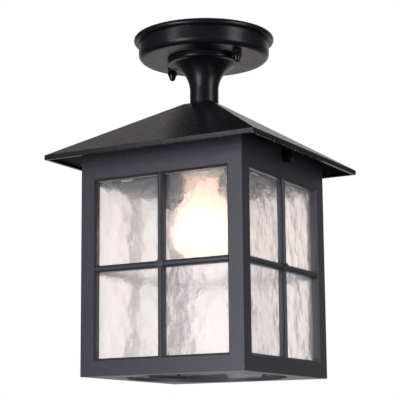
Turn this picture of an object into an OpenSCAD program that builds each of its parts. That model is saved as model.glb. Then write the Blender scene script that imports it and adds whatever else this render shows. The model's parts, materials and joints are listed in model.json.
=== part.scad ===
// Porch ceiling lantern: a square four-pane lantern under a pyramid roof,
// carried by a flared stem and a round ceiling canopy. Lengths are millimetres.
// The ceiling is the plane z = 0 and the lantern hangs below it.

/* [Ceiling canopy] */
// Radius of the canopy's side wall
canopy_r = 61.8; // [60:0.1:75]
// Depth of the canopy below the ceiling
canopy_depth = 22; // [21:0.5:30]
// Thickness of the canopy's side wall
canopy_wall = 2; // [1.5:0.1:3]
// Thickness of the canopy's floor
canopy_floor = 2.5; // [2:0.1:3.5]
// Rounding between the side wall and the underside
canopy_edge = 5.5; // [3:0.5:7]
// How far the rim bead stands out from the side wall
lip_overhang = 4.6; // [4:0.1:8]
// Height of the rim bead
lip_h = 5.6; // [3:0.1:6]
// Thickness of the ceiling gasket
gasket_t = 1.5; // [1:0.1:2]
// Width of the ceiling gasket
gasket_w = 3.2; // [2.5:0.1:5]

/* [Ceiling bracket] */
// Width of the bracket strip
bracket_w = 20; // [16:0.5:24]
// Thickness of the bracket strip
bracket_t = 2; // [1.5:0.1:3]
// Distance of each stud from the lantern's axis
stud_reach = 44.5; // [42:0.5:48]
// Bracket left beyond each stud
bracket_end = 8; // [7:0.5:9]
// Diameter of the studs
stud_d = 5; // [4:0.5:6]
// Turn of the bracket and the cap nuts about the lantern's axis, in degrees
bracket_turn = -17; // [-45:1:45]
// Pitch circle of the two ceiling screw holes
ceiling_pcd = 60; // [50:1:66]
// Diameter of the ceiling screw holes
ceiling_hole_d = 5.2; // [4:0.1:6]
// Distance of the earth screw from the axis
earth_reach = 15; // [13:0.5:18]
// Diameter of the earth screw's shank
earth_d = 4; // [3:0.5:5]

/* [Cap nuts] */
// Width across the flats
cap_nut_af = 8; // [7:0.5:10]
// Height of the hexagon
cap_nut_hex_h = 4; // [3:0.1:5]
// Height of the whole nut
cap_nut_h = 9.6; // [9:0.1:12]
// Diameter of the dome where it leaves the hexagon
cap_nut_dome_d = 7.8; // [6.5:0.1:8]
// Radius of the dome's round end
cap_nut_tip_r = 2.9; // [2.6:0.1:3.2]
// Diameter of the sealing washer
seal_washer_d = 8.4; // [8:0.1:12]
// Thickness of the sealing washer
seal_washer_t = 1; // [0.8:0.1:2]

/* [Stem] */
// Radius of the stem above the roof
stem_r = 13.5; // [12:0.1:16]
// Length of the stem from the flange face to its foot
stem_len = 41.5; // [36:0.5:60]
// Radius of the flange
flange_r = 34.6; // [32:0.1:38]
// Thickness of the flange's edge
flange_t = 3.4; // [2:0.1:5]
// Rounding of the flange's lower edge
flange_edge = 1.8; // [0.5:0.1:1.9]
// Radius of the flare's hollow curve
flare_r = 28; // [22:0.5:32]
// How far the flare spreads beyond the stem
flare_w = 16.5; // [12:0.5:18]
// Wall of the hollow foot
stem_wall = 3.5; // [2.5:0.1:5]
// Thickness of the solid head of the stem
stem_web = 4; // [3:0.1:8]
// Thickness of the seals above and below the stem
stem_seal_t = 1; // [0.5:0.1:2]

/* [Threaded tube] */
// Outside diameter of the tube
tube_d = 10; // [9:0.1:12]
// Bore of the tube
tube_bore_d = 7; // [6:0.1:7.5]
// Width across the flats of the lock nuts
lock_nut_af = 14; // [13.5:0.5:17]
// Height of the lock nuts
lock_nut_h = 4; // [3:0.1:5]
// Diameter of the tube washers
tube_washer_d = 18; // [17:0.5:20]
// Thickness of the tube washers
tube_washer_t = 1.2; // [1:0.1:2]
// Thickness of the earth tag
earth_tag_t = 0.8; // [0.5:0.1:1]
// Tube standing above the top lock nut
tube_proud = 1.5; // [1:0.1:2.5]

/* [Roof] */
// Side of the roof across the eaves
roof_side = 214; // [206:1:230]
// Side of the flat top
roof_top_side = 29; // [28:0.5:40]
// Rise from the fascia to the flat top
roof_rise = 55.8; // [50:0.1:64]
// Height of the fascia
fascia_h = 4.3; // [3:0.1:8]
// Thickness of the fascia
fascia_t = 3; // [2:0.1:4]
// Thickness of the roof, measured upright
roof_wall = 3; // [2.5:0.1:4]

/* [Lantern body] */
// Width and depth of the body
body_side = 165; // [160:1:170]
// Thickness of the walls, which is also the depth of the reveals
body_wall = 6.5; // [5.5:0.1:8]
// Thickness of the base plate
base_t = 3; // [2:0.1:5]
// Plate left between the round base hole and the middle of each side
base_rim = 9; // [8.5:0.1:20]
// Width of the post beside each window
post_w = 13.6; // [13:0.1:18]
// Height of the sill below each window
sill_h = 13.7; // [10:0.1:20]
// Height of the windows
window_h = 163.8; // [140:0.1:190]
// Height of the rail above each window
top_rail_h = 33.6; // [31:0.1:50]
// Width and depth of the bevel round each window
bevel = 2; // [1:0.1:3]
// Width of the glazing bars
bar_w = 6.3; // [5:0.1:8]
// How far the bars' crests lie behind the wall's face
bar_recess = 0.2; // [0:0.1:1.5]
// Diameter of the boss where the bars cross
boss_d = 7.6; // [7:0.1:9]
// How far that boss stands out from the bars
boss_proud = 1; // [0.2:0.1:1.5]
// Gap between the wall's top edge and the roof
wall_top_gap = 0.4; // [0.3:0.1:1]
// Width of the notches in the front and back walls
spare_notch_w = 6; // [4:0.5:8]
// Depth of the notches in the front and back walls
spare_notch_depth = 11; // [5:0.5:12]

/* [Glass] */
// Thickness of the panes
glass_t = 4; // [3:0.1:4.5]
// How far a pane laps past its window at the top
glass_top_lap = 3; // [2:0.1:5]
// Gap between neighbouring panes
glass_gap = 0.2; // [0.1:0.1:0.5]
// Height of the rib that keeps the foot of a pane in place
rib_h = 4; // [2:0.1:6]
// Thickness of that rib
rib_t = 2; // [1.5:0.1:3]
// Width of a glass clip
clip_w = 12; // [8:0.5:16]
// Thickness of a glass clip
clip_t = 1; // [0.6:0.1:1.5]
// Height of the clip's foot on the wall
clip_foot_h = 13; // [10:0.5:15]
// How far the clip's lip reaches down over the pane
clip_reach = 6; // [4:0.5:8]
// Distance of each clip from the middle of its wall
clip_offset = 40; // [25:1:55]
// Diameter of a clip screw's head
clip_screw_head_d = 6; // [5:0.1:8]
// Height of a clip screw's head
clip_screw_head_h = 2; // [1:0.1:3]
// Diameter of a clip screw's shank
clip_screw_d = 3; // [2.5:0.1:4]
// How deep a clip screw goes into the wall
clip_screw_grip = 4; // [2:0.1:4.5]

/* [Thumb screws] */
// Diameter of the knurled head
thumb_head_d = 11; // [10:0.5:13]
// Length of the knurled head
thumb_head_l = 8; // [6:0.1:9]
// Diameter of the neck behind the head
thumb_neck_d = 8; // [7:0.1:9]
// Length of the neck
thumb_neck_l = 2; // [1:0.1:3]
// Diameter of the thread
thumb_d = 5; // [4:0.1:6]
// Depth of the screw's axis below the top of the wall
thumb_drop = 14.7; // [14:0.1:18]
// Number of grooves round the knurled head
knurl_count = 24; // [16:1:32]
// Diameter of the round cutter that makes a groove
knurl_d = 1; // [0.6:0.1:1.2]
// Diameter of the washer
thumb_washer_d = 10; // [9:0.1:13]
// Thickness of the washer
thumb_washer_t = 1.2; // [0.8:0.1:2]
// Thickness of the roof lug that takes the screw
lug_t = 9.7; // [8:0.1:14]
// Width of the lug
lug_w = 16; // [12:0.5:22]
// How far the lug reaches below the screw's axis
lug_drop = 8; // [6:0.5:10]
// Length of thread standing through the lug
thumb_through = 3; // [1:0.1:6]

/* [Lampholder] */
// Outside diameter
holder_d = 40; // [39:0.1:46]
// Height from the entry to the rim
holder_h = 54; // [52:0.5:60]
// Distance from the roof's lock nut to the lampholder
holder_gap = 4.8; // [2:0.1:12]
// Height of the lampholder's cap
holder_cap_h = 17; // [15:0.5:20]
// Diameter of the threaded entry
holder_entry_d = 18; // [16:0.1:22]
// Length of tube inside the entry
holder_grip = 8; // [6:0.1:9]
// Wall of the cap and the shell
holder_wall = 2.2; // [1.8:0.1:2.5]
// Width of the ledge that carries the insert
holder_ledge = 1.2; // [0.8:0.1:1.5]
// Height of that ledge
holder_ledge_h = 2; // [1:0.1:3]
// Thickness of the ceramic insert's disc
insert_t = 6; // [4:0.1:6.5]
// Wall of the ceramic insert's sleeve
insert_sleeve = 1.9; // [1:0.1:2]
// Wall of the brass screw shell
screw_shell_t = 0.7; // [0.4:0.1:0.9]
// Height of the centre contact's spring
contact_h = 3; // [2:0.1:4]
// Distance of the terminal screws from the axis
terminal_reach = 9; // [8:0.1:11]

/* [Lamp] */
// Diameter of the lamp's screw cap
lamp_cap_d = 26.4; // [26:0.1:27]
// Length of the cap with its contact
lamp_cap_l = 26.5; // [25:0.1:28]
// How far the cap goes into the lampholder
lamp_depth = 23; // [20:0.1:25]
// Diameter of the bulb
lamp_d = 60; // [45:1:70]
// Length of the whole lamp
lamp_l = 106; // [96:1:120]
// Radius of the neck where it leaves the cap
lamp_neck_r = 12.4; // [11:0.1:12.6]
// Thickness of the bulb's glass
lamp_glass_t = 0.8; // [0.6:0.1:1]
// Pitch of the cap's thread
lamp_pitch = 3.6; // [3:0.1:4]
// Depth of the cap's thread
lamp_thread_depth = 0.9; // [0.5:0.1:1]
// How far the bulb's glass reaches up into the cap
lamp_glass_grip = 8; // [7:0.1:9]
// Length of the glass mount below the cap
lamp_mount_l = 18; // [12:0.5:24]
// Radius of the glass mount's rod
lamp_mount_r = 2.4; // [2:0.1:4]
// Thickness of the glass disc that closes the neck
lamp_disc_t = 3; // [2:0.1:4]
// Distance from that disc to the glass's rim
lamp_disc_recess = 1; // [0.8:0.1:1.5]
// Drop from the glass mount to the filament's arc
filament_drop = 14; // [8:0.5:18]
// Radius of the filament's arc
filament_r = 9; // [6:0.5:12]
// Thickness of the filament
filament_d = 1; // [0.5:0.1:1.2]
// Height of the contact on the cap's end
lamp_button_h = 2; // [1:0.1:3]
// Radius of that contact's round face
lamp_button_r = 6; // [4.5:0.1:8]
// Height of the black glass under the contact
lamp_taper_h = 4; // [3:0.1:5]

/* [Wiring] */
// Diameter of the leads over their insulation
lead_d = 2.1; // [1.6:0.1:2.3]
// Length of the connector strip
block_l = 26; // [24:0.5:30]
// Width of the connector strip
block_w = 15; // [12:0.5:18]
// Height of the connector strip
block_h = 11; // [9:0.5:12]
// Distance of the connector strip's middle from the axis
block_reach = 27; // [24:0.5:30]

/* [Clearances] */
// Radial clearance in threads and close holes
thread_clear = 0.05; // [0.03:0.01:0.1]
// Radial clearance of bolts and tubes in plain holes
hole_clear = 0.3; // [0.2:0.05:0.5]
// Gap between pieces that move on each other
seat_gap = 0.15; // [0.1:0.05:0.3]
// Gap between the lugs and the walls
lug_gap = 0.3; // [0.2:0.05:0.5]

/* [Hidden] */

// Smoothness of round surfaces, and the extra length of every cutter
$fn = 96;
cut = 1;

// Radii of the canopy and its bead
lip_r = canopy_r + lip_overhang;
canopy_in_r = canopy_r - canopy_wall;

// Heights, from the ceiling down
canopy_bottom_z = -canopy_depth;
canopy_in_z = canopy_bottom_z + canopy_floor;
stem_top_z = canopy_bottom_z - stem_seal_t;
flange_bottom_z = stem_top_z - flange_t;
stem_bottom_z = stem_top_z - stem_len;
roof_top_z = stem_bottom_z - stem_seal_t;
fascia_top_z = roof_top_z - roof_rise;
fascia_bottom_z = fascia_top_z - fascia_h;

// Roof slope, and the height of its soffit at a distance from the axis
roof_half = roof_side / 2;
roof_top_half = roof_top_side / 2;
roof_slope = roof_rise / (roof_half - roof_top_half);
roof_in_top_z = roof_top_z - roof_wall;
function soffit_z(reach) = roof_in_top_z - (reach - roof_top_half) * roof_slope;

// Lantern body
body_half = body_side / 2;
body_in_half = body_half - body_wall;
wall_top_z = soffit_z(body_half) - wall_top_gap;
body_h = sill_h + window_h + top_rail_h;
body_bottom_z = wall_top_z - body_h;
base_top_z = body_bottom_z + base_t;
base_hole_r = body_half - base_rim;
window_half = body_half - post_w;
window_bottom_z = body_bottom_z + sill_h;
window_top_z = window_bottom_z + window_h;
window_mid_z = (window_bottom_z + window_top_z) / 2;

// Panes and clips
glass_in_half = body_in_half - glass_t;
glass_half = glass_in_half - glass_gap;
glass_top_z = window_top_z + glass_top_lap;
clip_gap = 0.1;
clip_step_z = glass_top_z + clip_gap;
clip_screw_z = clip_step_z + clip_t + clip_foot_h / 2;

// Thumb screws
thumb_z = wall_top_z - thumb_drop;
lug_face = body_in_half - lug_gap;
thumb_washer_x = body_half + seat_gap;
thumb_neck_x = thumb_washer_x + thumb_washer_t + seat_gap;
thumb_head_x = thumb_neck_x + thumb_neck_l;
thumb_end_x = thumb_head_x + thumb_head_l;
thumb_tip_x = lug_face - lug_t - thumb_through;

// Threaded tube and what it clamps
tube_washer_z = canopy_in_z + tube_washer_t;
earth_tag_z = tube_washer_z + earth_tag_t;
tube_nut_z = earth_tag_z + lock_nut_h;
tube_top_z = tube_nut_z + tube_proud;
roof_washer_z = roof_in_top_z - tube_washer_t;
roof_nut_z = roof_washer_z - lock_nut_h;
holder_top_z = roof_nut_z - holder_gap;
tube_bottom_z = holder_top_z - holder_grip;

// Lampholder and lamp
holder_r = holder_d / 2;
holder_in_r = holder_r - holder_wall;
holder_seam_z = holder_top_z - holder_cap_h;
holder_bottom_z = holder_top_z - holder_h;
lamp_top_z = holder_bottom_z + lamp_depth;
lamp_bottom_z = lamp_top_z - lamp_l;
cap_bottom_z = lamp_top_z - lamp_cap_l;
insert_bottom_z = lamp_top_z + seat_gap + contact_h;
insert_top_z = insert_bottom_z + insert_t;
screw_shell_r = lamp_cap_d / 2 + seat_gap;
sleeve_r = screw_shell_r + screw_shell_t + thread_clear;

// Connector strip: three ways side by side, on the canopy's floor
block_pitch = block_l / 3;
block_top_z = canopy_in_z + block_h;
block_entry_z = canopy_in_z + block_h / 2;

// Routes of the three leads in the bracket's own frame: [along, across, height]
lead_across = 1.35;
terminal_head_h = 2;
earth_head_h = 2.2;
block_face = block_reach - block_w / 2;
live_route = [
    [-block_pitch, block_face - 0.2, block_entry_z],
    [-block_pitch, block_face - 1.8, block_entry_z],
    [-block_pitch * 0.9, block_face - 5, block_entry_z + 2.5],
    [-lead_across * 2, 5.5, tube_top_z + 3.2],
    [-lead_across, 1.4, tube_top_z + 1.6],
    [-lead_across, 0, tube_top_z - 3],
    [-lead_across, 0, tube_bottom_z + 3],
    [-lead_across, 0, tube_bottom_z - holder_wall - 0.5],
    [-terminal_reach * 0.55, 0, tube_bottom_z - holder_wall - 3.4],
    [-terminal_reach, 0, tube_bottom_z - holder_wall - 6],
    [-terminal_reach, 0, insert_top_z + terminal_head_h + 0.2]
];
earth_top_z = -bracket_t - earth_head_h - 0.25;
earth_foot_z = earth_tag_z + 0.25;
earth_route = [
    [-earth_reach, 0, earth_top_z],
    [-earth_reach, 0, earth_top_z - 2.5],
    [-earth_reach, -1.6, (earth_top_z + earth_foot_z) / 2],
    [-earth_reach, 0, earth_foot_z + 2.5],
    [-earth_reach, 0, earth_foot_z]
];

// ---------------------------------------------------------------- helpers

// A ring, or a disc with a hole, between two heights
module ring(outer, inner, top, bottom) {
    translate([0, 0, bottom]) difference() {
        cylinder(r = outer, h = top - bottom);
        translate([0, 0, -cut]) cylinder(r = inner, h = top - bottom + 2 * cut);
    }
}

// A hexagon nut on the axis
module hex_nut(af, hole_r, top, bottom) {
    translate([0, 0, bottom]) difference() {
        cylinder(d = af / cos(30), h = top - bottom, $fn = 6);
        translate([0, 0, -cut]) cylinder(r = hole_r, h = top - bottom + 2 * cut);
    }
}

// Half outline of a ball at the origin, and of the straight side that leaves it and ends at the
// point reach above it. The side starts a little inside the ball, so that the two cross cleanly.
module ball_outline(ball, reach) {
    foot = ball * 0.999;
    tilt = atan2(reach[1], reach[0]) - acos(foot / norm(reach));
    intersection() {
        circle(r = ball, $fn = 192);
        translate([0, -2 * ball]) square([2 * ball, 4 * ball]);
    }
    polygon([[0, 0], [foot * cos(tilt), foot * sin(tilt)], reach, [0, reach[1]]]);
}

// The bracket's frame, and a place on it at a stud
module bracket_frame() { rotate(bracket_turn) children(); }
module at_stud(side) { bracket_frame() translate([side * stud_reach, 0, 0]) children(); }

// Children drawn for the front wall, repeated on all four walls
module on_walls() { for (turn = [0 : 90 : 270]) rotate(turn) children(); }

// Points of a smooth curve through a route, and the tube swept along them
function curve_point(route, i, t) = let (
    last = len(route) - 1,
    a = route[max(i - 1, 0)], b = route[i], c = route[i + 1], d = route[min(i + 2, last)])
    0.5 * (2 * b + (c - a) * t + (2 * a - 5 * b + 4 * c - d) * t * t
        + (3 * b - a - 3 * c + d) * t * t * t);
function curve(route, steps) = concat(
    [for (i = [0 : len(route) - 2], k = [0 : steps - 1]) curve_point(route, i, k / steps)],
    [route[len(route) - 1]]);
function unit(v) = v / norm(v);
function tangent(path, i) = unit(path[min(i + 1, len(path) - 1)] - path[max(i - 1, 0)]);
function normals(path, i, previous) = let (
    along = tangent(path, i),
    now = unit(previous - (previous * along) * along))
    i == len(path) - 1 ? [now] : concat([now], normals(path, i + 1, now));
module wire(route, start_normal, width, steps = 3) {
    sides = 8;
    path = curve(route, steps);
    across = normals(path, 0, start_normal);
    points = [for (i = [0 : len(path) - 1], k = [0 : sides - 1])
        let (turn = 360 * k / sides, up = cross(tangent(path, i), across[i]))
        path[i] + width / 2 * (cos(turn) * across[i] + sin(turn) * up)];
    faces = concat(
        [[for (k = [sides - 1 : -1 : 0]) k]],
        [for (i = [0 : len(path) - 2], k = [0 : sides - 1]) let (next = (k + 1) % sides)
            [i * sides + k, i * sides + next, (i + 1) * sides + next, (i + 1) * sides + k]],
        [[for (k = [0 : sides - 1]) (len(path) - 1) * sides + k]]);
    polyhedron(points, [for (face = faces) [for (k = [len(face) - 1 : -1 : 0]) face[k]]]);
}

// ---------------------------------------------------------------- ceiling side

module mounting_bracket() {
    reach = stud_reach + bracket_end;
    color("silver") bracket_frame() translate([0, 0, -bracket_t]) difference() {
        intersection() {
            translate([-reach, -bracket_w / 2, 0]) cube([2 * reach, bracket_w, bracket_t]);
            cylinder(r = reach, h = bracket_t);
        }
        for (side = [-1, 1]) {
            translate([side * stud_reach, 0, -cut])
                cylinder(r = stud_d / 2 + thread_clear, h = bracket_t + 2 * cut);
            translate([side * ceiling_pcd / 2, 0, -cut])
                cylinder(d = ceiling_hole_d, h = bracket_t + 2 * cut);
        }
        translate([-earth_reach, 0, -cut])
            cylinder(r = earth_d / 2 + thread_clear, h = bracket_t + 2 * cut);
    }
}

// Metal left over the end of a cap nut's bore, the bore's depth, and the stud's gap in it
cap_nut_crown = 1.5;
stud_grip = cap_nut_h - stud_d / 2 - cap_nut_crown;
stud_end_gap = 0.5;
cap_nut_top_z = canopy_bottom_z - seat_gap - seal_washer_t - seat_gap;

module bracket_studs() {
    bottom = cap_nut_top_z - stud_grip + stud_end_gap;
    color("silver") for (side = [-1, 1]) at_stud(side)
        translate([0, 0, bottom]) cylinder(d = stud_d, h = -bottom);
}

module earth_screw() {
    color("goldenrod") bracket_frame() translate([-earth_reach, 0, 0]) {
        translate([0, 0, -bracket_t]) cylinder(d = earth_d, h = bracket_t);
        translate([0, 0, -bracket_t - earth_head_h]) difference() {
            cylinder(d = earth_d * 1.8, h = earth_head_h);
            translate([-earth_d, -0.5, -cut]) cube([2 * earth_d, 1, cut + 1]);
        }
    }
}

module ceiling_gasket() {
    color("dimgray") ring(canopy_in_r + gasket_w, canopy_in_r, 0, -gasket_t);
}

module canopy() {
    color("#2b2b30") difference() {
        rotate_extrude() difference() {
            union() {
                translate([0, canopy_bottom_z + canopy_edge])
                    square([canopy_r, canopy_depth - canopy_edge]);
                translate([0, canopy_bottom_z]) square([canopy_r - canopy_edge, canopy_edge + cut]);
                translate([canopy_r - canopy_edge, canopy_bottom_z + canopy_edge])
                    circle(r = canopy_edge);
                translate([0, -lip_h]) square([lip_r - lip_h / 2, lip_h]);
                translate([lip_r - lip_h / 2, -lip_h / 2]) circle(d = lip_h);
            }
            translate([-canopy_r * 2, -canopy_depth * 2]) square([canopy_r * 2, canopy_depth * 3]);
            translate([-cut, canopy_in_z])
                square([canopy_in_r + cut - canopy_edge + canopy_wall, canopy_depth]);
            translate([-cut, canopy_in_z + canopy_edge - canopy_wall])
                square([canopy_in_r + cut, canopy_depth]);
            translate([canopy_in_r - canopy_edge + canopy_wall,
                canopy_in_z + canopy_edge - canopy_wall]) circle(r = canopy_edge - canopy_wall);
            translate([-cut, -gasket_t]) square([canopy_in_r + gasket_w + cut, gasket_t + cut]);
        }
        translate([0, 0, canopy_bottom_z - cut])
            cylinder(r = tube_d / 2 + hole_clear, h = canopy_floor + 2 * cut);
        for (side = [-1, 1]) at_stud(side) translate([0, 0, canopy_bottom_z - cut])
            cylinder(r = stud_d / 2 + hole_clear, h = canopy_floor + 2 * cut);
    }
}

// The two sides of a way in the connector strip, where its clamp screws are
module at_clamps() {
    for (way = [-1 : 1], side = [-1, 1])
        translate([way * block_pitch, block_reach + side * block_w * 0.3, 0]) children();
}
clamp_screw_d = 3;
clamp_screw_h = 2.5;
block_screw_d = 2.5;
block_screw_head_d = 4.2;

module connector_block() {
    color("whitesmoke") bracket_frame() difference() {
        union() for (way = [-1 : 1]) translate([way * block_pitch - block_pitch / 2,
            block_reach - block_w / 2, canopy_in_z]) {
            cube([block_pitch, block_w, block_h - clamp_screw_h]);
            translate([1, 0, 0]) cube([block_pitch - 2, block_w, block_h]);
        }
        at_clamps() translate([0, 0, block_top_z - clamp_screw_h])
            cylinder(r = clamp_screw_d / 2 + thread_clear, h = clamp_screw_h + cut);
        translate([block_pitch / 2, block_reach, canopy_in_z - cut])
            cylinder(r = block_screw_d / 2 + thread_clear, h = block_h + 2 * cut);
        translate([block_pitch / 2, block_reach, block_top_z - clamp_screw_h])
            cylinder(r = block_screw_head_d / 2 + hole_clear, h = clamp_screw_h + cut);
    }
}

module connector_screws() {
    color("goldenrod") bracket_frame() at_clamps()
        translate([0, 0, block_top_z - clamp_screw_h]) difference() {
            cylinder(d = clamp_screw_d, h = clamp_screw_h - 0.5);
            translate([-clamp_screw_d, -0.25, clamp_screw_h - 1])
                cube([2 * clamp_screw_d, 0.5, cut]);
        }
}

module block_screw() {
    head_h = 1.6;
    color("silver") bracket_frame() translate([block_pitch / 2, block_reach, 0]) {
        translate([0, 0, canopy_in_z]) cylinder(d = block_screw_d, h = block_h - clamp_screw_h);
        translate([0, 0, block_top_z - clamp_screw_h])
            cylinder(d = block_screw_head_d, h = head_h);
    }
}

module live_lead() {
    color("saddlebrown") bracket_frame() wire(live_route, [1, 0, 0], lead_d);
}

module neutral_lead() {
    route = [for (p = live_route) [-p[0], p[1], p[2]]];
    color("royalblue") bracket_frame() wire(route, [1, 0, 0], lead_d);
}

module earth_lead() {
    color("yellowgreen") bracket_frame() wire(earth_route, [1, 0, 0], lead_d, 2);
}

module earth_tag() {
    tag_w = 6;
    color("goldenrod") bracket_frame() translate([0, 0, tube_washer_z]) difference() {
        union() {
            cylinder(r = tube_d / 2 + 2.5, h = earth_tag_t);
            translate([-earth_reach - tag_w / 2, -tag_w / 2, 0])
                cube([earth_reach + tag_w / 2, tag_w, earth_tag_t]);
        }
        translate([0, 0, -cut]) cylinder(r = tube_d / 2 + hole_clear, h = earth_tag_t + 2 * cut);
    }
}

module tube_top_washer() {
    color("silver") ring(tube_washer_d / 2, tube_d / 2 + hole_clear, tube_washer_z, canopy_in_z);
}

module tube_top_nut() {
    color("silver") hex_nut(lock_nut_af, tube_d / 2 + thread_clear, tube_nut_z, earth_tag_z);
}

module stem_tube() {
    color("silver") ring(tube_d / 2, tube_bore_d / 2, tube_top_z, tube_bottom_z);
}

// One cap nut at a stud: hexagon, tapered dome and round end, with a blind bore
module cap_nut(side) {
    tip_z = cap_nut_tip_r - cap_nut_h;
    color("#1d1d20") at_stud(side) translate([0, 0, cap_nut_top_z]) difference() {
        union() {
            translate([0, 0, -cap_nut_hex_h])
                cylinder(d = cap_nut_af / cos(30), h = cap_nut_hex_h, $fn = 6);
            rotate_extrude() translate([0, tip_z])
                ball_outline(cap_nut_tip_r, [cap_nut_dome_d / 2, -cap_nut_hex_h - tip_z]);
        }
        translate([0, 0, -stud_grip])
            cylinder(r = stud_d / 2 + thread_clear, h = stud_grip + cut);
    }
}
module cap_nut_left() { cap_nut(-1); }
module cap_nut_right() { cap_nut(1); }

module seal_washer(side) {
    top = canopy_bottom_z - seat_gap;
    color("#151515") at_stud(side)
        ring(seal_washer_d / 2, stud_d / 2 + thread_clear, top, top - seal_washer_t);
}
module seal_washer_left() { seal_washer(-1); }
module seal_washer_right() { seal_washer(1); }

// ---------------------------------------------------------------- stem and roof

// How far the seals stay inside the edges that hide them
flange_seal_inset = 1;
foot_seal_inset = 0.5;

module stem_top_seal() {
    color("#151515") ring(flange_r - flange_seal_inset, tube_d / 2 + hole_clear,
        canopy_bottom_z, stem_top_z);
}

module stem() {
    rise = sqrt(pow(flare_r, 2) - pow(flare_r - flare_w, 2));
    foot_bore_r = stem_r - stem_wall;
    color("#2b2b30") rotate_extrude() difference() {
        union() {
            translate([0, stem_bottom_z]) square([stem_r, stem_len]);
            difference() {
                translate([0, flange_bottom_z - rise]) square([stem_r + flare_w, rise + flange_t / 2]);
                translate([stem_r + flare_r, flange_bottom_z - rise]) circle(r = flare_r, $fn = 192);
            }
            translate([0, flange_bottom_z]) square([flange_r - flange_edge, flange_t]);
            translate([0, flange_bottom_z + flange_edge])
                square([flange_r, flange_t - flange_edge]);
            translate([flange_r - flange_edge, flange_bottom_z + flange_edge]) intersection() {
                circle(r = flange_edge);
                translate([0, -flange_edge]) square(flange_edge);
            }
        }
        translate([-cut, stem_bottom_z - cut]) square([tube_d / 2 + hole_clear + cut, stem_len + 2 * cut]);
        translate([-cut, stem_bottom_z - cut]) square([foot_bore_r + cut, stem_len - stem_web + cut]);
    }
}

module roof_seal() {
    color("#151515") ring(stem_r - foot_seal_inset, tube_d / 2 + hole_clear,
        stem_bottom_z, roof_top_z);
}

// A square hip-roof solid: the profile swept along X, met with the same along Y
module hipped(profile, reach) {
    intersection_for (turn = [0, 90]) rotate(turn) rotate([90, 0, 0])
        translate([0, 0, -reach]) linear_extrude(2 * reach) polygon(profile);
}

module roof() {
    pocket_half = roof_half - fascia_t;
    pocket_edge_z = soffit_z(pocket_half);
    outside = [[-roof_half, fascia_bottom_z], [roof_half, fascia_bottom_z],
        [roof_half, fascia_top_z], [roof_top_half, roof_top_z],
        [-roof_top_half, roof_top_z], [-roof_half, fascia_top_z]];
    pocket = [[-pocket_half, fascia_bottom_z - cut], [pocket_half, fascia_bottom_z - cut],
        [pocket_half, pocket_edge_z], [roof_top_half, roof_in_top_z],
        [-roof_top_half, roof_in_top_z], [-pocket_half, pocket_edge_z]];
    color("#2f2e31") difference() {
        hipped(outside, roof_half);
        difference() {
            hipped(pocket, pocket_half);
            for (side = [-1, 1]) mirror([side < 0 ? 1 : 0, 0, 0])
                translate([lug_face - lug_t, -lug_w / 2, thumb_z - lug_drop])
                    cube([lug_t, lug_w, roof_top_z - thumb_z + lug_drop]);
        }
        for (side = [-1, 1]) mirror([side < 0 ? 1 : 0, 0, 0])
            translate([lug_face - lug_t - cut, 0, thumb_z]) rotate([0, 90, 0])
                cylinder(r = thumb_d / 2 + thread_clear, h = lug_t + 2 * cut);
        translate([0, 0, roof_in_top_z - cut])
            cylinder(r = tube_d / 2 + hole_clear, h = roof_wall + 2 * cut);
    }
}

module roof_washer() {
    color("silver") ring(tube_washer_d / 2, tube_d / 2 + hole_clear, roof_in_top_z, roof_washer_z);
}

module roof_nut() {
    color("silver") hex_nut(lock_nut_af, tube_d / 2 + thread_clear, roof_washer_z, roof_nut_z);
}

// ---------------------------------------------------------------- lampholder

module lampholder_cap() {
    entry_r = holder_entry_d / 2;
    shoulder_z = holder_top_z - holder_grip;
    dome_h = shoulder_z - holder_seam_z;
    color("ivory") rotate_extrude() difference() {
        union() {
            translate([0, shoulder_z - cut]) square([entry_r, holder_grip + cut]);
            translate([0, holder_seam_z]) square([holder_r - dome_h, dome_h]);
            intersection() {
                translate([holder_r - dome_h, holder_seam_z]) circle(r = dome_h);
                translate([holder_r - dome_h, holder_seam_z]) square(dome_h);
            }
        }
        translate([-cut, tube_bottom_z])
            square([tube_d / 2 + thread_clear + cut, holder_grip + cut]);
        translate([-cut, holder_seam_z - cut])
            square([tube_bore_d / 2 + cut, dome_h + 2 * cut]);
        translate([-cut, holder_seam_z - cut])
            square([holder_r - dome_h + cut, dome_h - holder_wall + cut]);
        translate([holder_r - dome_h, holder_seam_z]) circle(r = dome_h - holder_wall);
    }
}

module lampholder_shell() {
    color("ivory") {
        ring(holder_r, holder_in_r, holder_seam_z, holder_bottom_z);
        ring(holder_r - holder_wall / 2, holder_in_r - holder_ledge, insert_bottom_z,
            insert_bottom_z - holder_ledge_h);
    }
}

// Terminal screws, and how far above the lampholder's rim its sleeve and screw shell end
terminal_screw_d = 3;
terminal_depth = 2;
sleeve_recess = 4;
screw_shell_recess = 3;

module lampholder_insert() {
    sleeve_bottom_z = holder_bottom_z + sleeve_recess;
    color("white") difference() {
        union() {
            translate([0, 0, insert_bottom_z])
                cylinder(r = holder_in_r - thread_clear, h = insert_t);
            translate([0, 0, sleeve_bottom_z])
                cylinder(r = sleeve_r + insert_sleeve, h = insert_bottom_z - sleeve_bottom_z);
        }
        translate([0, 0, sleeve_bottom_z - cut])
            cylinder(r = sleeve_r, h = insert_bottom_z - sleeve_bottom_z + cut);
        bracket_frame() for (side = [-1, 1])
            translate([side * terminal_reach, 0, insert_top_z - terminal_depth])
                cylinder(r = terminal_screw_d / 2 + thread_clear, h = terminal_depth + cut);
    }
}

module lampholder_thread() {
    color("goldenrod") ring(screw_shell_r + screw_shell_t, screw_shell_r, insert_bottom_z,
        holder_bottom_z + screw_shell_recess);
}

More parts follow.
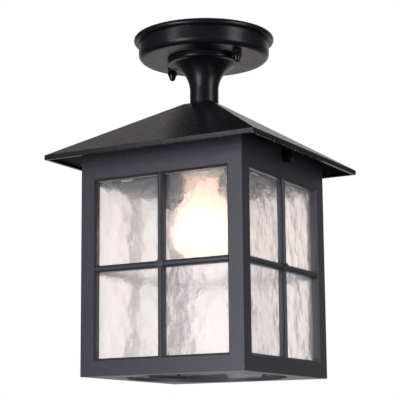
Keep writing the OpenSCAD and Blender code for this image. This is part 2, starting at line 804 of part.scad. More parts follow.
module lampholder_contact() {
    strip_w = 5;
    strip_t = 0.6;
    strip_l = 9;
    color("goldenrod") {
        translate([-strip_l / 2, -strip_w / 2, insert_bottom_z - strip_t])
            cube([strip_l, strip_w, strip_t]);
        translate([strip_l / 2 - strip_t, -strip_w / 2, insert_bottom_z - contact_h])
            cube([strip_t, strip_w, contact_h]);
        translate([-strip_w / 2, -strip_w / 2, insert_bottom_z - contact_h])
            cube([strip_l / 2 + strip_w / 2, strip_w, strip_t]);
    }
}

module lampholder_screws() {
    color("goldenrod") bracket_frame() for (side = [-1, 1])
        translate([side * terminal_reach, 0, insert_top_z]) {
            translate([0, 0, -terminal_depth]) cylinder(d = terminal_screw_d, h = terminal_depth);
            cylinder(d = terminal_screw_d + 2, h = terminal_head_h);
        }
}

// ---------------------------------------------------------------- lantern body

// Opening of a window in the front wall: a bevel outside, then a straight reveal
module window_cut() {
    face = -body_half;
    inner_half = window_half - bevel;
    translate([-inner_half, face - cut, window_bottom_z + bevel])
        cube([2 * inner_half, body_wall + 2 * cut, window_h - 2 * bevel]);
    intersection() {
        translate([0, 0, window_bottom_z]) linear_extrude(window_h)
            polygon([[-window_half - cut, face - cut], [window_half + cut, face - cut],
                [inner_half, face + bevel], [-inner_half, face + bevel]]);
        translate([window_half, 0, 0]) rotate([0, -90, 0]) linear_extrude(2 * window_half)
            polygon([[window_bottom_z - cut, face - cut], [window_top_z + cut, face - cut],
                [window_top_z - bevel, face + bevel], [window_bottom_z + bevel, face + bevel]]);
    }
}

// Half-round cross of glazing bars in the front window, with a boss at its middle
module glazing_bars() {
    bar_r = bar_w / 2;
    axis_y = bar_recess + bar_r - body_half;
    foot_d = body_wall - bar_recess - bar_r;
    across = 2 * window_half - bevel;
    upright = window_h - bevel;
    intersection() {
        union() {
            translate([0, axis_y, window_mid_z - upright / 2]) {
                cylinder(r = bar_r, h = upright);
                translate([-bar_r, 0, 0]) cube([bar_w, foot_d, upright]);
            }
            translate([-across / 2, axis_y, window_mid_z]) {
                rotate([0, 90, 0]) cylinder(r = bar_r, h = across);
                translate([0, 0, -bar_r]) cube([across, foot_d, bar_w]);
            }
            translate([0, -body_in_half, window_mid_z]) rotate([90, 0, 0])
                cylinder(d = boss_d, h = body_wall - bar_recess + boss_proud);
        }
        translate([-body_half, -body_half - boss_proud, window_bottom_z])
            cube([body_side, body_wall + boss_proud, window_h]);
    }
}

// Notch in the top of the front wall, round at its foot
module top_notch(width, axis_z) {
    translate([0, -body_half - cut, axis_z]) rotate([-90, 0, 0])
        cylinder(d = width, h = body_wall + 2 * cut);
    translate([-width / 2, -body_half - cut, axis_z])
        cube([width, body_wall + 2 * cut, wall_top_z - axis_z + cut]);
}

module at_clips() {
    on_walls() for (side = [-1, 1]) translate([side * clip_offset, -body_in_half, 0]) children();
}

module lantern_body() {
    screw_notch_w = thumb_d + 2 * hole_clear;
    rib_out = glass_in_half - clip_gap;
    color("#33343a") {
        difference() {
            translate([-body_half, -body_half, body_bottom_z]) cube([body_side, body_side, body_h]);
            translate([-body_in_half, -body_in_half, base_top_z])
                cube([2 * body_in_half, 2 * body_in_half, body_h]);
            translate([0, 0, body_bottom_z - cut]) cylinder(r = base_hole_r, h = base_t + 2 * cut);
            on_walls() window_cut();
            for (turn = [90, 270]) rotate(turn) top_notch(screw_notch_w, thumb_z);
            for (turn = [0, 180]) rotate(turn)
                top_notch(spare_notch_w, wall_top_z - spare_notch_depth + spare_notch_w / 2);
            at_clips() translate([0, cut, clip_screw_z]) rotate([90, 0, 0])
                cylinder(r = clip_screw_d / 2 + thread_clear, h = clip_screw_grip + 0.3 + cut);
        }
        on_walls() glazing_bars();
        difference() {
            translate([-rib_out, -rib_out, base_top_z]) cube([2 * rib_out, 2 * rib_out, rib_h]);
            translate([rib_t - rib_out, rib_t - rib_out, base_top_z - cut])
                cube([2 * (rib_out - rib_t), 2 * (rib_out - rib_t), rib_h + 2 * cut]);
            translate([0, 0, base_top_z - cut])
                cylinder(r = base_hole_r + 1, h = rib_h + 2 * cut);
        }
    }
}

module pane(turn) {
    color("aliceblue", 0.5) rotate(turn) translate([-glass_half, -body_in_half, base_top_z])
        cube([2 * glass_half, glass_t, glass_top_z - base_top_z]);
}
module glass_front() { pane(0); }
module glass_right() { pane(90); }
module glass_back() { pane(180); }
module glass_left() { pane(270); }

module glass_clips() {
    lip_in = glass_t + clip_gap;
    color("silver") at_clips() difference() {
        rotate([90, 0, 90]) translate([0, 0, -clip_w / 2]) linear_extrude(clip_w) {
            translate([0, clip_step_z]) square([clip_t, clip_t + clip_foot_h]);
            translate([0, clip_step_z]) square([lip_in + clip_t, clip_t]);
            translate([lip_in, glass_top_z - clip_reach])
                square([clip_t, clip_reach + clip_gap + clip_t]);
        }
        translate([0, -cut, clip_screw_z]) rotate([-90, 0, 0])
            cylinder(r = clip_screw_d / 2 + thread_clear, h = clip_t + 2 * cut);
    }
}

module clip_screws() {
    color("silver") at_clips() translate([0, 0, clip_screw_z]) rotate([-90, 0, 0]) {
        translate([0, 0, -clip_screw_grip]) cylinder(d = clip_screw_d, h = clip_screw_grip + clip_t);
        translate([0, 0, clip_t]) cylinder(d = clip_screw_head_d, h = clip_screw_head_h);
    }
}

// ---------------------------------------------------------------- thumb screws

// A thumb screw drawn along +X, with a knurled head
module thumb_screw(side) {
    color("#1d1d20") mirror([side < 0 ? 1 : 0, 0, 0]) translate([0, 0, thumb_z]) rotate([0, 90, 0]) {
        translate([0, 0, thumb_tip_x]) cylinder(d = thumb_d, h = thumb_neck_x - thumb_tip_x);
        translate([0, 0, thumb_neck_x]) cylinder(d = thumb_neck_d, h = thumb_neck_l);
        difference() {
            translate([0, 0, thumb_head_x]) cylinder(d = thumb_head_d, h = thumb_head_l);
            for (k = [0 : knurl_count - 1]) rotate(360 * k / knurl_count)
                translate([thumb_head_d / 2, 0, thumb_head_x - cut])
                    cylinder(d = knurl_d, h = thumb_head_l + 2 * cut, $fn = 16);
        }
    }
}
module thumb_screw_left() { thumb_screw(-1); }
module thumb_screw_right() { thumb_screw(1); }

module thumb_washer(side) {
    color("silver") mirror([side < 0 ? 1 : 0, 0, 0]) translate([0, 0, thumb_z]) rotate([0, 90, 0])
        ring(thumb_washer_d / 2, thumb_d / 2 + thread_clear, thumb_washer_x + thumb_washer_t,
            thumb_washer_x);
}
module thumb_washer_left() { thumb_washer(-1); }
module thumb_washer_right() { thumb_washer(1); }

// ---------------------------------------------------------------- lamp

lamp_r = lamp_d / 2;
lamp_globe_z = lamp_bottom_z + lamp_r;
lamp_cap_wall = 0.8;
cap_thread_top_z = lamp_top_z - lamp_button_h - lamp_taper_h;
glass_foot_z = cap_bottom_z + lamp_glass_grip;

// Outline of the bulb: a ball, and a neck whose side just touches it
module bulb_outline(shrink) {
    translate([0, lamp_globe_z])
        ball_outline(lamp_r - shrink, [lamp_neck_r - shrink, cap_bottom_z - lamp_globe_z]);
    translate([0, cap_bottom_z]) square([lamp_neck_r - shrink, glass_foot_z - cap_bottom_z]);
}

module lamp_glass() {
    color("lightyellow", 0.8) rotate_extrude() difference() {
        bulb_outline(0);
        bulb_outline(lamp_glass_t);
        translate([-cut, glass_foot_z - cut])
            square([lamp_neck_r - lamp_glass_t + cut, 2 * cut]);
    }
}

module lamp_cap() {
    cap_r = lamp_cap_d / 2;
    turns = floor((cap_thread_top_z - cap_bottom_z) / lamp_pitch);
    in_r = lamp_neck_r + thread_clear;
    color("gainsboro") rotate_extrude() difference() {
        translate([0, cap_bottom_z]) square([cap_r, cap_thread_top_z - cap_bottom_z]);
        for (turn = [0 : turns - 1]) translate([cap_r + lamp_thread_depth * 0.2,
            cap_bottom_z + (turn + 0.5) * lamp_pitch]) circle(r = lamp_thread_depth);
        translate([-cut, cap_bottom_z - cut])
            square([in_r + cut, cap_thread_top_z - cap_bottom_z - lamp_cap_wall + cut]);
        translate([-cut, cap_bottom_z]) square([in_r * 0.6 + cut, lamp_cap_l]);
    }
}

module lamp_insulator() {
    foot_r = lamp_neck_r * 0.6;
    color("#101014") translate([0, 0, cap_thread_top_z]) {
        cylinder(r1 = lamp_cap_d / 2 - 1.5, r2 = lamp_cap_d / 4, h = lamp_taper_h);
        translate([0, 0, -lamp_cap_wall]) cylinder(r = foot_r, h = lamp_cap_wall);
    }
}

module lamp_contact() {
    color("silver") rotate_extrude() translate([0, lamp_top_z - lamp_button_h]) intersection() {
        translate([0, lamp_button_h - lamp_button_r]) circle(r = lamp_button_r);
        square([lamp_button_r, lamp_button_h]);
    }
}

mount_bottom_z = cap_bottom_z - lamp_mount_l;
filament_z = mount_bottom_z - filament_drop;

module lamp_mount() {
    disc_z = glass_foot_z - lamp_disc_t - lamp_disc_recess;
    color("azure", 0.6) {
        translate([0, 0, mount_bottom_z])
            cylinder(r = lamp_mount_r, h = disc_z - mount_bottom_z + lamp_disc_t / 2);
        translate([0, 0, disc_z])
            cylinder(r = lamp_neck_r - lamp_glass_t - thread_clear, h = lamp_disc_t);
    }
}

module lamp_filament() {
    foot_x = lamp_mount_r - 0.9;
    foot_z = mount_bottom_z - 0.4 * filament_d;
    color("orange") wire([[-foot_x, 0, foot_z], [-foot_x, 0, foot_z - 2],
        [-filament_r, 0, filament_z], [0, -filament_r, filament_z], [filament_r, 0, filament_z],
        [foot_x, 0, foot_z - 2], [foot_x, 0, foot_z]], [0, 1, 0], filament_d);
}

mounting_bracket();
bracket_studs();
earth_screw();
ceiling_gasket();
canopy();
connector_block();
connector_screws();
block_screw();
live_lead();
neutral_lead();
earth_lead();
earth_tag();
tube_top_washer();
tube_top_nut();
stem_tube();
stem_top_seal();
stem();
roof_seal();
roof();
roof_washer();
roof_nut();
lampholder_cap();
lampholder_shell();
lampholder_insert();
lampholder_thread();
lampholder_contact();
lampholder_screws();
cap_nut_left();
cap_nut_right();
seal_washer_left();
seal_washer_right();
thumb_screw_left();
thumb_screw_right();
thumb_washer_left();
thumb_washer_right();
lantern_body();
glass_front();
glass_back();
glass_left();
glass_right();
glass_clips();
clip_screws();
lamp_glass();
lamp_cap();
lamp_insulator();
lamp_contact();
lamp_mount();
lamp_filament();
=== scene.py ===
"""Looks of the porch ceiling lantern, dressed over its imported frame. Lengths are metres."""
import json
import math

import bpy
from mathutils import Matrix, Vector, noise

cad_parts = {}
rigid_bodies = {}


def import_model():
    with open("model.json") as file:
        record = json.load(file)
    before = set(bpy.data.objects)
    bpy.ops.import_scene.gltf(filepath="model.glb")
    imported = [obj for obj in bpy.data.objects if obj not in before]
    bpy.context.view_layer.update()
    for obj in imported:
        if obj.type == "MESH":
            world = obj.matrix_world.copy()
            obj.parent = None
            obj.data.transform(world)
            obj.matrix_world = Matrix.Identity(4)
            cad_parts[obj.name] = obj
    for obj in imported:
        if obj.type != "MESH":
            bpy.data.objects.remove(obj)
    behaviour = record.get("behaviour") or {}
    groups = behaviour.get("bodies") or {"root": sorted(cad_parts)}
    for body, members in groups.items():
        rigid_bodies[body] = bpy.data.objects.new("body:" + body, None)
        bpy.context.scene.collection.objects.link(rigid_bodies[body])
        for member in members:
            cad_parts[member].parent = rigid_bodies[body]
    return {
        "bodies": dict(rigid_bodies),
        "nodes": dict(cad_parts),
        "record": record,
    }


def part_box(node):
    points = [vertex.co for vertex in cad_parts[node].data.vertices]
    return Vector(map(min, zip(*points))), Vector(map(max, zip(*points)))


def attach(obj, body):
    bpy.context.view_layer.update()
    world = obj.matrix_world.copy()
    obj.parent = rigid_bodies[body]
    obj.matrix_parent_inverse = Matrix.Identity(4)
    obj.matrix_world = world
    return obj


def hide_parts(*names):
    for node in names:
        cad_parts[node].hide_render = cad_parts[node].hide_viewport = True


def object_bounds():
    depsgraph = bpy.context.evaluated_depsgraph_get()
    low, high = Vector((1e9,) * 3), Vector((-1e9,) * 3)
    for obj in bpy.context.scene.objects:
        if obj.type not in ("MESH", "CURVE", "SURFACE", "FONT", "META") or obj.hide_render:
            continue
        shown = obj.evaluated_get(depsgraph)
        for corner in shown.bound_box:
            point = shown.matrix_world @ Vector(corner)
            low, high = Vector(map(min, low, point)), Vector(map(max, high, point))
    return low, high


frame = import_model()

MM = 0.001
CAD_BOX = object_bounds()
LAMP_LOW, LAMP_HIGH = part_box("lamp_glass")
LAMP_RADIUS = (LAMP_HIGH.x - LAMP_LOW.x) / 2
BODY_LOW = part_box("lantern_body")[0]

# The photograph's camera: where it stands round the lantern, and how it is turned
CAMERA_AZIMUTH = 29.346
CAMERA_DISTANCE = 1.2728
CAMERA_BELOW_BASE = 0.0686
CAMERA_YAW = 29.563
CAMERA_PITCH = 10.392
CAMERA_ROLL = -0.467
CAMERA_LENS = 124.973
SENSOR_WIDTH = 36.0

# The studio's soft light from above and from below, and the heights of direction between them
DIFFUSE_ABOVE = 0.85
DIFFUSE_BELOW = 0.16
DIFFUSE_EDGE = (-0.35, 0.30)

# What gloss reflects: a dim room, and a pale backdrop whose edge is given as cosines from its middle
GLOSSY_ROOM = 0.05
GLOSSY_BACKDROP = 0.68
BACKDROP_AZIMUTH = -155
BACKDROP_ELEVATION = 5
BACKDROP_EDGE = (0.66, 0.95)
BACKDROP_TINT = (1.0, 0.93, 0.92)

# The softboxes, and a floor that is far below the lantern
SOFTBOX_DISTANCE = 1.5
SOFTBOX_TINT = (0.90, 0.90, 1.0)
FLOOR_Z = -2.2
FLOOR_HALF = 40

# The lit bulb: its light, whose ball and height are parts of the lamp's radius, and its glass's glow
BULB_POWER = 0.04
BULB_TINT = (1.0, 0.84, 0.66)
BULB_CORE = 0.49
BULB_HEIGHT = 1.2
BULB_GLOW = 0.10
NECK_GLOW = 0.14
NECK_FOOT = 1.8
NECK_TOP = 2.6

# The hammered panes: their mesh, how deep each side is worked, and what sets their patterns apart
PANE_STEP = 1.2 * MM
PANE_INNER_DEPTH = 1.5 * MM
PANE_OUTER_DEPTH = 0.35 * MM
PANE_FIRST_SEED = 3.7
PANE_SEED_STEP = 11.3


# ---------------------------------------------------------------- stage

def direction(azimuth, elevation):
    """Unit vector from the lantern towards a place round it. Azimuth 0 is the front, 90 the right."""
    turn = math.radians(azimuth)
    rise = math.radians(elevation)
    return Vector((math.sin(turn) * math.cos(rise), -math.cos(turn) * math.cos(rise), math.sin(rise)))


def make_camera():
    """The photograph's camera, unshifted, a little below the lantern's base."""
    yaw = math.radians(CAMERA_YAW)
    pitch = math.radians(CAMERA_PITCH)
    roll = math.radians(CAMERA_ROLL)
    forward = Vector((-math.sin(yaw) * math.cos(pitch), math.cos(yaw) * math.cos(pitch),
        math.sin(pitch)))
    level = Vector((math.cos(yaw), math.sin(yaw), 0))
    upright = level.cross(forward)
    right = level * math.cos(roll) + upright * math.sin(roll)
    up = upright * math.cos(roll) - level * math.sin(roll)
    data = bpy.data.cameras.new("photo_camera")
    data.sensor_width = SENSOR_WIDTH
    data.lens = CAMERA_LENS
    data.clip_start = 0.01
    data.clip_end = 120
    camera = bpy.data.objects.new("photo_camera", data)
    camera.matrix_world = Matrix((right, up, -forward)).transposed().to_4x4()
    camera.location = direction(CAMERA_AZIMUTH, 0) * CAMERA_DISTANCE
    camera.location.z = BODY_LOW.z - CAMERA_BELOW_BASE
    bpy.context.scene.collection.objects.link(camera)
    bpy.context.scene.camera = camera


def make_world():
    """White for the camera and through glass, dimmer below for soft light, a backdrop for gloss."""
    world = bpy.data.worlds.new("studio")
    bpy.context.scene.world = world
    world.use_nodes = True
    tree = Tree(world.node_tree)
    ray = tree.add("ShaderNodeLightPath")
    place = tree.place()
    split = tree.add("ShaderNodeSeparateXYZ")
    tree.join(place, "Generated", split, "Vector")
    soft = tree.between(split, "Z", DIFFUSE_BELOW, DIFFUSE_ABOVE, *DIFFUSE_EDGE)
    towards = tree.add("ShaderNodeVectorMath", operation="DOT_PRODUCT")
    towards.inputs[1].default_value = direction(BACKDROP_AZIMUTH, BACKDROP_ELEVATION)
    tree.join(place, "Generated", towards, 0)
    gloss = tree.between(towards, "Value", GLOSSY_ROOM, GLOSSY_BACKDROP, *BACKDROP_EDGE)
    for span in (soft, gloss):
        span.interpolation_type = "SMOOTHSTEP"
    lit = tree.mix_value(ray, "Is Glossy Ray", (soft, "Result"), (gloss, "Result"))
    seen = tree.add("ShaderNodeMath", operation="MAXIMUM")
    tree.join(ray, "Is Camera Ray", seen, 0)
    tree.join(ray, "Is Transmission Ray", seen, 1)
    level = tree.mix_value(seen, "Value", (lit, "Result"), 1.0)
    tint = tree.ramp(ray, "Is Glossy Ray", [(0, (1, 1, 1)), (1, BACKDROP_TINT)])
    background = tree.add("ShaderNodeBackground")
    tree.join(tint, "Color", background, "Color")
    tree.join(level, "Result", background, "Strength")
    tree.join(background, "Background", tree.output("ShaderNodeOutputWorld"), "Surface")


def softbox(name, azimuth, elevation, size, power):
    """An upright softbox that faces the lantern's centre."""
    data = bpy.data.lights.new(name, "AREA")
    data.shape = "RECTANGLE"
    data.size = size[0]
    data.size_y = size[1]
    data.energy = power
    data.color = SOFTBOX_TINT
    light = bpy.data.objects.new(name, data)
    centre = (CAD_BOX[0] + CAD_BOX[1]) / 2
    light.location = centre + direction(azimuth, elevation) * SOFTBOX_DISTANCE
    light.rotation_euler = (centre - light.location).to_track_quat("-Z", "Y").to_euler()
    light.visible_camera = False
    light.visible_transmission = False
    bpy.context.scene.collection.objects.link(light)


def make_lights():
    """Two large softboxes for the walls, and a small high one for the canopy and the stem."""
    softbox("softbox_left", azimuth=-12, elevation=-12, size=(0.6, 1.15), power=10.6)
    softbox("softbox_right", azimuth=84, elevation=4, size=(0.45, 1.3), power=7.5)
    softbox("softbox_high", azimuth=-24, elevation=20, size=(0.3, 0.4), power=1.4)


def make_floor():
    """A pale floor that only the camera and light through glass can see."""
    half = FLOOR_HALF
    mesh = bpy.data.meshes.new("floor")
    mesh.from_pydata([(-half, -half, FLOOR_Z), (half, -half, FLOOR_Z), (half, half, FLOOR_Z),
        (-half, half, FLOOR_Z)], [], [(0, 1, 2, 3)])
    floor = bpy.data.objects.new("floor", mesh)
    bpy.context.scene.collection.objects.link(floor)
    tree = new_material("floor")
    tree.shader.inputs["Base Color"].default_value = (0.86, 0.86, 0.86, 1)
    tree.shader.inputs["Roughness"].default_value = 0.9
    tree.shader.inputs["Emission Color"].default_value = (1, 1, 1, 1)
    tree.shader.inputs["Emission Strength"].default_value = 0.45
    mesh.materials.append(tree.material)
    floor.visible_diffuse = False
    floor.visible_glossy = False


# ---------------------------------------------------------------- node helpers

class Tree:
    """A node tree with short calls to add and join nodes."""

    def __init__(self, node_tree):
        self.nodes = node_tree.nodes
        self.links = node_tree.links
        self.nodes.clear()

    def add(self, kind, **settings):
        node = self.nodes.new(kind)
        for name, value in settings.items():
            setattr(node, name, value)
        return node

    def join(self, source, out, target, into):
        self.links.new(source.outputs[out], target.inputs[into])

    def output(self, kind):
        return self.add(kind, is_active_output=True)

    def mix_value(self, factor, out, low, high):
        """A number between low and high; each is a number or a (node, output) pair."""
        mix = self.add("ShaderNodeMapRange", clamp=False)
        self.join(factor, out, mix, "Value")
        for socket, value in (("To Min", low), ("To Max", high)):
            if isinstance(value, tuple):
                self.join(value[0], value[1], mix, socket)
            else:
                mix.inputs[socket].default_value = value
        return mix

    def place(self):
        return self.add("ShaderNodeTexCoord")

    def grain(self, size, detail=3.0, rough=0.55, offset=0.0):
        """Noise whose features are about size across."""
        grain = self.add("ShaderNodeTexNoise", noise_dimensions="4D")
        grain.inputs["W"].default_value = offset
        grain.inputs["Scale"].default_value = 1 / size
        grain.inputs["Detail"].default_value = detail
        grain.inputs["Roughness"].default_value = rough
        self.join(self.place(), "Object", grain, "Vector")
        return grain

    def ramp(self, source, out, stops):
        """A colour ramp: stops are (place, colour)."""
        ramp = self.add("ShaderNodeValToRGB")
        for _ in range(len(stops) - 2):
            ramp.color_ramp.elements.new(0.5)
        for element, (where, colour) in zip(ramp.color_ramp.elements, stops):
            element.position = where
            element.color = (*colour, 1)
        self.join(source, out, ramp, "Fac")
        return ramp

    def between(self, source, out, low, high, start=0.3, end=0.7):
        """The source's value from start to end, as a number from low to high."""
        span = self.add("ShaderNodeMapRange")
        for socket, value in zip(("From Min", "From Max", "To Min", "To Max"), (start, end, low, high)):
            span.inputs[socket].default_value = value
        self.join(source, out, span, "Value")
        return span

    def bump(self, source, out, strength, distance, under=None):
        bump = self.add("ShaderNodeBump")
        bump.inputs["Strength"].default_value = strength
        bump.inputs["Distance"].default_value = distance
        self.join(source, out, bump, "Height")
        if under:
            self.join(under, "Normal", bump, "Normal")
        return bump


def new_material(name):
    """A material with one Principled shader, as a Tree with .shader and .material."""
    material = bpy.data.materials.new(name)
    material.use_nodes = True
    tree = Tree(material.node_tree)
    tree.material = material
    tree.shader = tree.add("ShaderNodeBsdfPrincipled")
    tree.join(tree.shader, "BSDF", tree.output("ShaderNodeOutputMaterial"), "Surface")
    return tree


# ---------------------------------------------------------------- materials

def powder_coat():
    """Textured charcoal powder coat: a fine grain of lighter specks over small pits."""
    tree = new_material("powder_coat")
    tree.shader.inputs["Specular IOR Level"].default_value = 0.62
    speck = tree.grain(0.9 * MM, detail=4, rough=0.7)
    colour = tree.ramp(speck, "Fac", [(0.3, (0.022, 0.021, 0.029)), (0.52, (0.036, 0.035, 0.046)),
        (0.72, (0.085, 0.084, 0.102))])
    tree.join(colour, "Color", tree.shader, "Base Color")
    cloud = tree.grain(28 * MM, detail=2, offset=3)
    sheen = tree.between(cloud, "Fac", 0.32, 0.40)
    tree.join(sheen, "Result", tree.shader, "Roughness")
    fine = tree.bump(speck, "Fac", 0.4, 0.12 * MM)
    coarse = tree.grain(2.4 * MM, detail=1, offset=7)
    tree.join(tree.bump(coarse, "Fac", 0.2, 0.15 * MM, fine), "Normal", tree.shader, "Normal")
    return tree.material


def satin_paint(name, colour, roughness, peel):
    """Smooth black paint with a faint orange peel and slightly worn sheen."""
    tree = new_material(name)
    cloud = tree.grain(35 * MM, detail=3, offset=1)
    light = tuple(c * 1.35 for c in colour)
    tree.join(tree.ramp(cloud, "Fac", [(0.3, colour), (0.75, light)]), "Color",
        tree.shader, "Base Color")
    mark = tree.grain(6 * MM, detail=5, rough=0.65, offset=4)
    tree.join(tree.between(mark, "Fac", roughness - 0.04, roughness + 0.06), "Result",
        tree.shader, "Roughness")
    skin = tree.grain(1.6 * MM, detail=2, offset=2)
    tree.join(tree.bump(skin, "Fac", peel, 0.06 * MM), "Normal", tree.shader, "Normal")
    return tree.material


def metal(name, colour, roughness):
    """Bare or plated metal with fine marks."""
    tree = new_material(name)
    tree.shader.inputs["Metallic"].default_value = 1.0
    marks = tree.grain(0.8 * MM, detail=4)
    dark = tuple(c * 0.82 for c in colour)
    tree.join(tree.ramp(marks, "Fac", [(0.3, dark), (0.7, colour)]), "Color", tree.shader, "Base Color")
    tree.join(tree.between(marks, "Fac", roughness - 0.06, roughness + 0.1), "Result",
        tree.shader, "Roughness")
    tree.join(tree.bump(marks, "Fac", 0.15, 0.05 * MM), "Normal", tree.shader, "Normal")
    return tree.material


def moulded(name, colour, roughness, mottle=0.06):
    """Moulded plastic, rubber or glazed ceramic with a slightly uneven surface."""
    tree = new_material(name)
    cloud = tree.grain(5 * MM, detail=3)
    dark = tuple(c * (1 - mottle * 2) for c in colour)
    tree.join(tree.ramp(cloud, "Fac", [(0.3, dark), (0.7, colour)]), "Color", tree.shader, "Base Color")
    tree.join(tree.between(cloud, "Fac", roughness - 0.05, roughness + 0.05), "Result",
        tree.shader, "Roughness")
    fine = tree.grain(0.5 * MM, detail=2, offset=5)
    tree.join(tree.bump(fine, "Fac", 0.12, 0.04 * MM), "Normal", tree.shader, "Normal")
    return tree.material


def striped_lead():
    """Green and yellow insulation, in two halves along the lead."""
    tree = new_material("green_yellow_insulation")
    split = tree.add("ShaderNodeSeparateXYZ")
    tree.join(tree.place(), "Object", split, "Vector")
    low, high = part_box("earth_lead")
    middle = (low.x + high.x) / 2
    side = tree.between(split, "X", 0, 1, middle - 0.02 * MM, middle + 0.02 * MM)
    tree.join(tree.ramp(side, "Result", [(0, (0.72, 0.62, 0.04)), (1, (0.05, 0.30, 0.06))]), "Color",
        tree.shader, "Base Color")
    tree.shader.inputs["Roughness"].default_value = 0.45
    return tree.material


def hammered_glass():
    """Cast glass with a faint pink-grey tint, a milky haze and fine leathery ripples."""
    tree = new_material("hammered_glass")
    tree.shader.inputs["Base Color"].default_value = (0.985, 0.970, 0.965, 1)
    tree.shader.inputs["Transmission Weight"].default_value = 0.95
    tree.shader.inputs["IOR"].default_value = 1.5
    ripple = tree.grain(2.2 * MM, detail=4, rough=0.6, offset=9)
    tree.join(tree.between(ripple, "Fac", 0.01, 0.03), "Result", tree.shader, "Roughness")
    tree.join(tree.bump(ripple, "Fac", 1.0, 0.28 * MM), "Normal", tree.shader, "Normal")
    return tree.material


def lit_bulb():
    """Frosted bulb that is switched on: its glass glows peach round its light, and pinker at the neck."""
    tree = new_material("lit_bulb")
    tree.shader.inputs["Base Color"].default_value = (1.0, 0.90, 0.80, 1)
    tree.shader.inputs["Transmission Weight"].default_value = 0.60
    tree.shader.inputs["IOR"].default_value = 1.3
    frost = tree.grain(1.2 * MM, detail=2)
    tree.join(tree.between(frost, "Fac", 0.12, 0.20), "Result", tree.shader, "Roughness")
    split = tree.add("ShaderNodeSeparateXYZ")
    tree.join(tree.place(), "Object", split, "Vector")
    neck = tree.between(split, "Z", 0, 1, LAMP_LOW.z + NECK_FOOT * LAMP_RADIUS,
        LAMP_LOW.z + NECK_TOP * LAMP_RADIUS)
    tree.join(tree.ramp(neck, "Result", [(0, (1.0, 0.84, 0.70)), (1, (1.0, 0.66, 0.50))]), "Color",
        tree.shader, "Emission Color")
    tree.join(tree.between(neck, "Result", BULB_GLOW, NECK_GLOW, 0, 1), "Result",
        tree.shader, "Emission Strength")
    return tree.material


def clear_glass(name):
    """Clear glass with a barely green tint."""
    tree = new_material(name)
    tree.shader.inputs["Base Color"].default_value = (0.97, 0.98, 0.98, 1)
    tree.shader.inputs["Transmission Weight"].default_value = 1.0
    tree.shader.inputs["IOR"].default_value = 1.5
    tree.shader.inputs["Roughness"].default_value = 0.02
    return tree.material


def make_materials():
    """One material for each material slot of the part."""
    return {
        "body_black": powder_coat(),
        "roof_black": satin_paint("roof_paint", (0.0050, 0.0048, 0.0068), 0.27, 0.05),
        "canopy_black": satin_paint("canopy_paint", (0.0055, 0.0055, 0.0080), 0.32, 0.14),
        "nut_black": satin_paint("nut_enamel", (0.006, 0.006, 0.008), 0.20, 0.10),
        "zinc_steel": metal("zinc_plate", (0.62, 0.63, 0.64), 0.30),
        "brass": metal("brass", (0.80, 0.60, 0.28), 0.28),
        "seal_rubber": moulded("seal_rubber", (0.014, 0.014, 0.014), 0.65),
        "gasket_foam": moulded("gasket_foam", (0.045, 0.045, 0.045), 0.9, 0.25),
        "holder_ivory": moulded("holder_plastic", (0.74, 0.70, 0.60), 0.35),
        "porcelain": moulded("porcelain", (0.82, 0.81, 0.77), 0.15),
        "connector_nylon": moulded("connector_nylon", (0.72, 0.72, 0.69), 0.5),
        "lead_brown": moulded("brown_insulation", (0.15, 0.06, 0.03), 0.42),
        "lead_blue": moulded("blue_insulation", (0.03, 0.10, 0.38), 0.42),
        "lead_green_yellow": striped_lead(),
        "hammered_glass": hammered_glass(),
        "bulb_glass": lit_bulb(),
        "bulb_mount": clear_glass("bulb_mount"),
        "lamp_metal": metal("lamp_aluminium", (0.78, 0.77, 0.75), 0.32),
        "lamp_black_glass": moulded("lamp_insulator", (0.01, 0.01, 0.012), 0.12),
        "filament": metal("filament", (0.9, 0.55, 0.25), 0.4),
    }


# ---------------------------------------------------------------- pieces

def modifier(piece, name, kind, **settings):
    added = piece.modifiers.new(name, kind)
    for key, value in settings.items():
        setattr(added, key, value)


def soften(piece, width):
    """Rounds a CAD piece's sharp edges by a little, and shades it smoothly with its flats flat."""
    modifier(piece, "weld", "WELD", merge_threshold=0.002 * MM)
    modifier(piece, "round", "BEVEL", width=width, segments=2, limit_method="ANGLE",
        angle_limit=math.radians(32), use_clamp_overlap=True)
    modifier(piece, "flats", "WEIGHTED_NORMAL", mode="FACE_AREA", weight=100)
    for face in piece.data.polygons:
        face.use_smooth = True


def dress_cad(materials):
    """Every CAD piece gets its slot's material; pieces whose slot is listed in rounding also get softened
    edges.
    """
    slot_of = {part["node"]: part["material_slot"] for part in frame["record"]["subparts"]}
    rounding = {"body_black": 0.5 * MM, "roof_black": 0.6 * MM, "canopy_black": 0.5 * MM,
        "nut_black": 0.3 * MM, "zinc_steel": 0.2 * MM, "holder_ivory": 0.5 * MM,
        "porcelain": 0.3 * MM, "connector_nylon": 0.3 * MM}
    for name, piece in frame["nodes"].items():
        slot = slot_of[name]
        piece.data.materials.clear()
        piece.data.materials.append(materials[slot])
        if slot in rounding:
            soften(piece, rounding[slot])


def relief(along, up, seed):
    """Height of the hammered side, from 0 to about 1: broad waves, dimples and fine ripples."""
    broad = noise.noise(Vector((along / (24 * MM), up / (34 * MM), seed)))
    warp = 4 * MM * noise.noise(Vector((along / (15 * MM), up / (15 * MM), seed + 31)))
    dimple = noise.voronoi(Vector(((along + warp) / (11 * MM), (up - warp) / (15 * MM), seed + 7)))[0][0]
    fine = noise.noise(Vector((along / (4.5 * MM), up / (5 * MM), seed + 13)))
    return 0.5 + 0.42 * broad + 0.5 * (dimple - 0.45) + 0.09 * fine


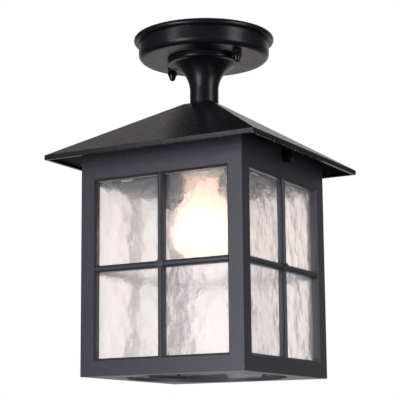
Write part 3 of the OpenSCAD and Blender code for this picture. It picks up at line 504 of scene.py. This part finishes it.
def hammered_pane(node, seed, material):
    """A pane with a hammered inner side and a gently waved outer side, inside its CAD sheet."""
    low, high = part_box(node)
    middle = (low + high) / 2
    size = high - low
    across = 0 if size.x < size.y else 1
    along = 1 - across
    outward = 1 if middle[across] > 0 else -1
    faces_at = {"outer": max(low[across] * outward, high[across] * outward),
        "inner": min(low[across] * outward, high[across] * outward)}
    columns = round(size[along] / PANE_STEP)
    rows = round(size.z / PANE_STEP)
    points = []
    for side in ("outer", "inner"):
        for row in range(rows + 1):
            for column in range(columns + 1):
                u = low[along] + size[along] * column / columns
                v = low.z + size.z * row / rows
                if side == "outer":
                    wave = 0.5 + 0.5 * noise.noise(Vector((u / (30 * MM), v / (38 * MM), seed + 50)))
                    place = faces_at["outer"] - PANE_OUTER_DEPTH * wave
                else:
                    place = faces_at["inner"] + PANE_INNER_DEPTH * relief(u, v, seed)
                point = [0.0, 0.0, v]
                point[across] = place * outward
                point[along] = u
                points.append(point)
    stride = columns + 1
    layer = stride * (rows + 1)
    quads = []
    for row in range(rows):
        for column in range(columns):
            a = row * stride + column
            quad = (a, a + 1, a + stride + 1, a + stride)
            quads.append(quad)
            quads.append(tuple(layer + i for i in reversed(quad)))
    rim = list(range(stride)) + [row * stride + columns for row in range(1, rows + 1)]
    rim += [rows * stride + column for column in range(columns - 1, -1, -1)]
    rim += [row * stride for row in range(rows - 1, 0, -1)]
    for here, after in zip(rim, rim[1:] + rim[:1]):
        quads.append((after, here, here + layer, after + layer))
    mesh = bpy.data.meshes.new(node + "_hammered")
    mesh.from_pydata(points, [], quads)
    mesh.validate()
    if (across == 1) != (outward < 0):
        mesh.flip_normals()
    sheets = 2 * rows * columns
    for face in mesh.polygons:
        face.use_smooth = face.index < sheets
    mesh.materials.append(material)
    pane = bpy.data.objects.new(node + "_hammered", mesh)
    pane.visible_shadow = False
    bpy.context.scene.collection.objects.link(pane)
    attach(pane, "cage")
    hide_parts(node)


def light_bulb():
    """The bulb's light: a soft ball of glow round its filament, inside the frosted glass."""
    data = bpy.data.lights.new("bulb_light", "POINT")
    data.energy = BULB_POWER
    data.color = BULB_TINT
    data.shadow_soft_size = BULB_CORE * LAMP_RADIUS
    light = bpy.data.objects.new("bulb_light", data)
    light.location = (0, 0, LAMP_LOW.z + BULB_HEIGHT * LAMP_RADIUS)
    bpy.context.scene.collection.objects.link(light)
    light.visible_camera = False
    light.visible_glossy = False
    light.parent = frame["bodies"]["lamp"]
    for name in ("lamp_glass", "lamp_mount", "lamp_filament"):
        frame["nodes"][name].visible_shadow = False


# ---------------------------------------------------------------- scene

scene = bpy.context.scene
scene.view_settings.view_transform = "Standard"
make_camera()
make_world()
make_lights()
make_floor()
MATERIALS = make_materials()
dress_cad(MATERIALS)
for seed, node in enumerate(("glass_front", "glass_right", "glass_back", "glass_left")):
    hammered_pane(node, PANE_FIRST_SEED + PANE_SEED_STEP * seed, MATERIALS["hammered_glass"])
light_bulb()
